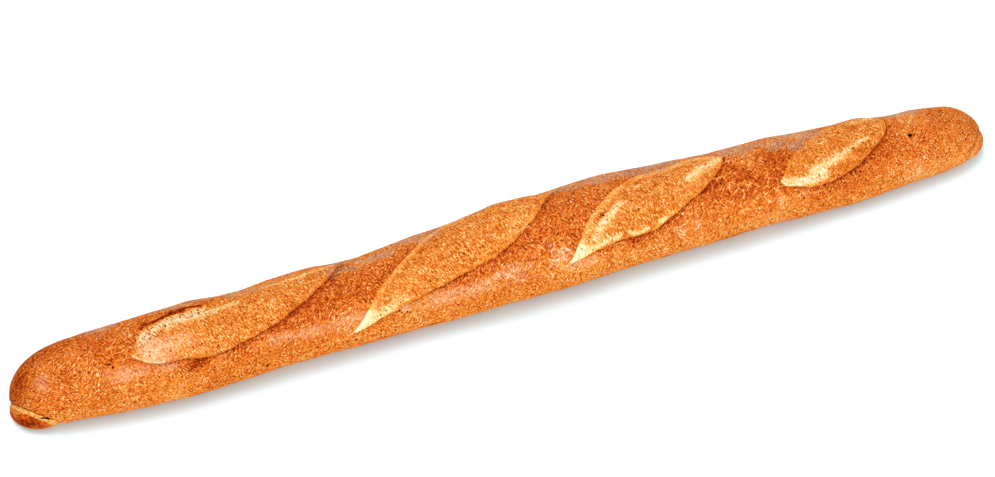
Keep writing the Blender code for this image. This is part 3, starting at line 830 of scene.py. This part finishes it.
class Shader:
    """One material's nodes, added and linked in a line each."""

    def __init__(self, name):
        self.material = bpy.data.materials.new(name)
        self.material.use_nodes = True
        self.tree = self.material.node_tree
        self.surface = self.tree.nodes["Principled BSDF"]

    def feed(self, socket, value):
        """Sets a socket, or links it to another node's output."""
        if isinstance(value, bpy.types.NodeSocket):
            self.tree.links.new(value, socket)
        else:
            socket.default_value = value

    def attribute(self, name, output="Fac"):
        """A mask or place stored on the mesh."""
        node = self.tree.nodes.new("ShaderNodeAttribute")
        node.attribute_name = name
        return node.outputs[output]

    def noise(self, vector, scale, detail=2.0, roughness=0.5, distortion=0.0, output="Fac"):
        """Noise from 0 to 1, or three noises at once from the output named Color."""
        node = self.tree.nodes.new("ShaderNodeTexNoise")
        self.feed(node.inputs["Vector"], vector)
        for name, value in (("Scale", scale), ("Detail", detail), ("Roughness", roughness),
                            ("Distortion", distortion)):
            node.inputs[name].default_value = value
        return node.outputs[output]

    def cells(self, vector, scale, feature="F1"):
        """Distance to the nearest cell centre, or to the cell's edge."""
        node = self.tree.nodes.new("ShaderNodeTexVoronoi")
        node.feature = feature
        self.feed(node.inputs["Vector"], vector)
        self.feed(node.inputs["Scale"], scale)
        return node.outputs["Distance"]

    def math(self, operation, first, second=0.0, clamp=False):
        """Arithmetic on two values."""
        node = self.tree.nodes.new("ShaderNodeMath")
        node.operation = operation
        node.use_clamp = clamp
        self.feed(node.inputs[0], first)
        self.feed(node.inputs[1], second)
        return node.outputs[0]

    def spread(self, value, low, high, to_low=0.0, to_high=1.0):
        """A value's range stretched to another, and clamped to it."""
        node = self.tree.nodes.new("ShaderNodeMapRange")
        node.interpolation_type = "SMOOTHSTEP"
        for socket, part in zip(node.inputs, (value, low, high, to_low, to_high)):
            self.feed(socket, part)
        return node.outputs["Result"]

    def stretch(self, vector, scale, turn=0.0):
        """A vector turned about Z by an angle in degrees, then scaled along its axes."""
        for socket, value in (("Rotation", (0.0, 0.0, math.radians(turn))), ("Scale", scale)):
            node = self.tree.nodes.new("ShaderNodeMapping")
            self.feed(node.inputs["Vector"], vector)
            node.inputs[socket].default_value = value
            vector = node.outputs["Vector"]
        return vector

    def mix(self, share, first, second, blend="MIX", kind="RGBA"):
        """Two colours mixed, or two values where the kind is FLOAT."""
        node = self.tree.nodes.new("ShaderNodeMix")
        node.data_type = kind
        node.blend_type = blend
        for name, value in (("Factor", share), ("A", first), ("B", second)):
            self.feed(node.inputs[name], value)
        return node.outputs["Result"]

    def ramp(self, value, stops):
        """The skin's colour by a value, from screen colours."""
        node = self.tree.nodes.new("ShaderNodeValToRGB")
        elements = node.color_ramp.elements
        while len(elements) < len(stops):
            elements.new(0.5)
        for element, (position, *screen) in zip(elements, stops):
            element.position = position
            element.color = skin_colour(*screen)
        self.feed(node.inputs["Fac"], value)
        return node.outputs["Color"]

    def bump(self, height):
        """Fine relief from a height."""
        node = self.tree.nodes.new("ShaderNodeBump")
        self.feed(node.inputs["Height"], height)
        node.inputs["Distance"].default_value = BUMP_DISTANCE
        node.inputs["Strength"].default_value = BUMP_STRENGTH
        return node.outputs["Normal"]

    def weighted(self, *pairs):
        """The sum of values, each times its weight."""
        total = 0.0
        for value, weight in pairs:
            total = self.math("ADD", self.math("MULTIPLY", value, weight), total)
        return total

    def product(self, first, *others):
        """Values multiplied."""
        for value in others:
            first = self.math("MULTIPLY", first, value)
        return first

    def centred(self, value):
        """Noise from 0 to 1 moved to -0.5 to 0.5."""
        return self.math("SUBTRACT", value, 0.5)


class LoafShader(Shader):
    """The loaf's material: browned crust with a fine grain, and paler streaked crumb in the cuts."""

    def __init__(self):
        super().__init__("crust")
        self.place = self.tree.nodes.new("ShaderNodeTexCoord").outputs["Object"]
        self.flat = self.attribute("flat", "Vector")
        self.around = self.math("ABSOLUTE", self.attribute("around"))
        self.broad = self.centred(self.noise(self.place, SCALES["broad"]))
        self.patch = self.centred(self.noise(self.place, SCALES["patch"]))
        self.grain = self.centred(self.noise(self.place, SCALES["grain"], 1.0, 0.5, 0.4))
        self.lumps = self.spread(self.cells(self.place, SCALES["lump"]), 0.12, 0.72, 0.5, -0.5)
        curl = self.centred(self.noise(self.place, SCALES["curl"], 1.0, 0.5, 1.6))
        self.squiggle = self.spread(self.math("ABSOLUTE", curl), 0.0, 0.040, 1.0, 0.0)
        lean = self.spread(self.noise(self.place, SCALES["lean"], 1.0), 0.44, 0.60)
        leaning = (self.fibres("fibre", turn, 0.8) for turn in CRUST_TURNS)
        self.fibre = self.mix(lean, *leaning, kind="FLOAT")
        self.comb = self.fibres("comb", CRUMB_TURN, 0.6)
        streak_place = self.stretch(self.flat, (0.24, 1.0, 1.0))
        self.streak = self.centred(self.noise(streak_place, SCALES["streak"], 2.0, 0.6, 0.5))
        self.folds = self.fold_net()
        # Painted sheen and painted reflection, with crisp uneven borders.
        self.painted_sheen = self.patchy("painted_sheen", 0.40, 0.58)
        self.painted_reflection = self.patchy("painted_reflection", 0.34, 0.55)
        self.cream = self.pale_crumb()
        self.loud = self.loudness()
        self.quiet = self.quietness()

    def fibres(self, name, turn, curl, length=0.32):
        """Noise in fine fibres, turned by an angle from the loaf's axis."""
        fibre_place = self.stretch(self.flat, (length, 1.0, 1.0), turn)
        return self.centred(self.noise(fibre_place, SCALES[name], 1.5, 0.55, curl))

    def patchy(self, mask, low, high):
        """A mask with a crisp, uneven border."""
        amount = self.attribute(mask)
        rough_border = self.weighted((self.patch, 1.6), (self.fibre, 1.0))
        uneven = self.product(rough_border, self.spread(amount, 0.02, 0.20))
        return self.spread(self.math("ADD", amount, uneven), low, high)

    def fold_net(self):
        """The net of fine folds, 1 along a fold."""
        bend = self.noise(self.place, SCALES["bend"], output="Color")
        bent = self.tree.nodes.new("ShaderNodeVectorMath")
        self.feed(bent.inputs[0], self.place)
        self.feed(bent.inputs[1], self.stretch(bend, FOLD_BEND))
        folds = self.cells(bent.outputs["Vector"], SCALES["fold"], "DISTANCE_TO_EDGE")
        folds = self.spread(folds, 0.030, 0.120, 1.0, 0.0)
        part = self.spread(self.noise(self.place, SCALES["part"], 1.0), 0.40, 0.52)
        return self.product(folds, part, self.attribute("net"))

    def pale_crumb(self):
        """The cream mask with an uneven border."""
        uneven = self.weighted((self.patch, 0.9), (self.streak, 1.0))
        return self.spread(self.math("ADD", self.attribute("cream"), uneven), 0.10, 1.05)

    def loudness(self):
        """How much fine contrast the cuts' smooth and pale places leave."""
        calmed = self.weighted((self.attribute("calm"), 0.45), (self.cream, 0.15))
        return self.math("SUBTRACT", 1.0, calmed, clamp=True)

    def quietness(self):
        """How much fine contrast the painted sheen, the painted reflection and the net leave."""
        covered = self.math("MAXIMUM", self.painted_sheen, self.painted_reflection)
        covered = self.math("MAXIMUM", covered, self.attribute("net"))
        return self.math("SUBTRACT", 1.0, self.product(covered, 0.20))

    def crust(self):
        """The browned crust's colour, with painted shade round the cuts, painted sheen and painted
        reflection.
        """
        fine = self.weighted(
            (self.fibre, 2.40), (self.grain, 0.55), (self.lumps, 0.10), (self.squiggle, -0.14),
        )
        top = self.spread(self.around, 0.10, 0.40, 0.5, -0.5)
        foot = self.spread(self.around, 0.38, 0.48)
        bake = self.weighted(
            (self.attribute("brown"), 0.26), (self.attribute("shelter"), 0.30), (top, 0.07),
            (foot, -0.035), (self.broad, 0.26), (self.patch, 0.36), (self.attribute("wrinkle"), -0.36),
            (self.attribute("net"), 0.10), (self.folds, -0.38), (self.product(fine, self.quiet), 1.0),
        )
        bake = self.math("ADD", bake, 0.60, clamp=True)
        # The painted sheen and the painted reflection take over the crust's colour where they lie.
        colour = self.mix(self.painted_sheen, self.ramp(bake, CRUST_COLOURS), self.ramp(bake, SHEEN_COLOURS))
        return self.mix(self.painted_reflection, colour, self.ramp(bake, REFLECTION_COLOURS))

    def crumb_grain(self):
        """The fine contrast of the opened cuts."""
        return self.weighted(
            (self.streak, 0.50), (self.comb, 1.55), (self.grain, 0.95), (self.lumps, 0.10),
        )

    def crumb(self):
        """The opened cuts' colour, with small holes painted dark as their shade, torn strands, painted
        sheen and painted reflection.
        """
        # Small holes in the pale crumb, painted dark as the shade inside them.
        hole_shade = self.spread(self.cells(self.place, SCALES["hole"]), 0.10, 0.24, 1.0, 0.0)
        hole_shade = self.product(self.cream, self.loud, hole_shade)
        strands = self.spread(self.fibres("strand", CRUMB_TURN, 0.3, 0.25), 0.04, 0.11)
        strands = self.product(strands, self.attribute("strand"))
        fine = self.product(self.loud, self.quiet, self.crumb_grain())
        toast = self.weighted(
            (self.cream, -0.38), (self.attribute("brown"), 0.26), (self.broad, 0.18),
            (self.patch, 0.42), (fine, 1.0), (hole_shade, 0.85), (self.attribute("calm"), -0.01),
            (strands, 0.75),
        )
        toast = self.math("ADD", toast, 0.53, clamp=True)
        colour = self.ramp(toast, CRUMB_COLOURS)
        colour = self.mix(self.product(self.painted_sheen, 0.7), colour, self.ramp(toast, SHEEN_COLOURS))
        return self.mix(self.product(self.painted_reflection, 0.7), colour, self.ramp(toast, REFLECTION_COLOURS))

    def torn(self):
        """The pale floor of a seam."""
        fine = self.weighted((self.crumb_grain(), 0.8), (self.patch, 0.6))
        return self.ramp(self.math("ADD", fine, 0.31, clamp=True), CRUMB_COLOURS)

    def tinted(self, colour):
        """A colour with rosy and golden flecks, and more amber low on the flanks."""
        hue = self.centred(self.noise(self.place, SCALES["hue"], 2.0, 0.7))
        fleck = self.mix(self.spread(hue, -0.16, 0.16), ROSY, GOLDEN)
        colour = self.mix(1.0, colour, fleck, "MULTIPLY")
        amber = self.mix(1.0, colour, AMBER, "MULTIPLY")
        return self.mix(self.spread(self.around, 0.28, 0.45), colour, amber)

    def marked(self, colour):
        """A colour with the broken dark lines of painted shadow under the ledges and in the seams, and
        the pits' painted shade.
        """
        broken = self.spread(self.math("ADD", self.patch, self.grain), -0.06, 0.06, 0.25, 1.0)
        for name in ("line", "seam_gap_shade"):
            colour = self.mix(self.product(self.attribute(name), broken), colour, SHADE_LINE_COLOUR)
        return self.mix(self.spread(self.attribute("pit"), 0.25, 0.6), colour, PIT_SHADE_COLOUR)

    def relief(self):
        """The height of the grain, the fibres and the folds."""
        fibres = self.mix(self.attribute("opened"), self.fibre, self.comb, kind="FLOAT")
        height = self.weighted(
            (self.grain, -0.6), (self.lumps, -0.3), (self.squiggle, 0.2), (self.folds, 0.5),
            (fibres, -1.0),
        )
        return self.product(height, self.loud)


def loaf_material():
    """Browned crust, opened cuts and pale seams, all dull, with painted shade, painted sheen and
    painted reflection.
    """
    shader = LoafShader()
    opened = shader.attribute("opened")
    colour = shader.mix(opened, shader.crust(), shader.crumb())
    colour = shader.mix(shader.patchy("seam", 0.15, 0.70), colour, shader.torn())
    shader.feed(shader.surface.inputs["Base Color"], shader.marked(shader.tinted(colour)))
    rough = shader.math("ADD", shader.weighted((opened, 0.08), (shader.fibre, 0.4)), 0.46)
    shader.feed(shader.surface.inputs["Roughness"], rough)
    shader.feed(shader.surface.inputs["Normal"], shader.bump(shader.relief()))
    shader.surface.inputs["Specular IOR Level"].default_value = 0.0
    return shader.material


def floor_material():
    """Plain dull white."""
    shader = Shader("floor")
    shader.surface.inputs["Base Color"].default_value = FLOOR_COLOUR
    shader.surface.inputs["Roughness"].default_value = 0.9
    shader.surface.inputs["Specular IOR Level"].default_value = 0.0
    return shader.material


# ---------------- the studio
def make_floor():
    """A plain white floor."""
    mesh = bmesh.new()
    bmesh.ops.create_grid(mesh, x_segments=1, y_segments=1, size=FLOOR_HALF)
    data = bpy.data.meshes.new("floor")
    mesh.to_mesh(data)
    mesh.free()
    data.materials.append(floor_material())
    floor = bpy.data.objects.new("floor", data)
    bpy.context.scene.collection.objects.link(floor)


def make_softbox(name, place, power):
    """A square light that looks at the loaf."""
    data = bpy.data.lights.new(name, "AREA")
    data.size = SOFTBOX_SIZE
    data.energy = power
    light = bpy.data.objects.new(name, data)
    light.location = place
    light.rotation_euler = (AIM - Vector(place)).to_track_quat("-Z", "Y").to_euler()
    bpy.context.scene.collection.objects.link(light)


def make_world():
    """Even white light from all round."""
    world = bpy.data.worlds.new("studio")
    world.use_nodes = True
    background = world.node_tree.nodes["Background"]
    background.inputs["Color"].default_value = (1.0, 1.0, 1.0, 1.0)
    background.inputs["Strength"].default_value = WORLD_STRENGTH
    bpy.context.scene.world = world


def camera_back():
    """The direction from the loaf to the camera."""
    turn, rise = math.radians(AZIMUTH), math.radians(ELEVATION)
    return Vector((math.sin(turn) * math.cos(rise), -math.cos(turn) * math.cos(rise), math.sin(rise)))


def make_camera():
    """The photograph's viewpoint."""
    data = bpy.data.cameras.new("camera")
    data.sensor_width = SENSOR
    data.lens = FOCAL_PIXELS * SENSOR / PHOTO_WIDTH
    camera = bpy.data.objects.new("camera", data)
    camera.location = AIM + camera_back() * CAMERA_DISTANCE
    camera.rotation_euler = camera_back().to_track_quat("Z", "Y").to_euler()
    bpy.context.scene.collection.objects.link(camera)
    bpy.context.scene.camera = camera


loaf = make_loaf()
loaf.data.materials.append(loaf_material())
bpy.context.scene.collection.objects.link(loaf)
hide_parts("baguette")
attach(loaf, "root")

make_floor()
make_world()
for softbox in SOFTBOXES:
    make_softbox(*softbox)
make_camera()
bpy.context.scene.view_settings.view_transform = "Standard"
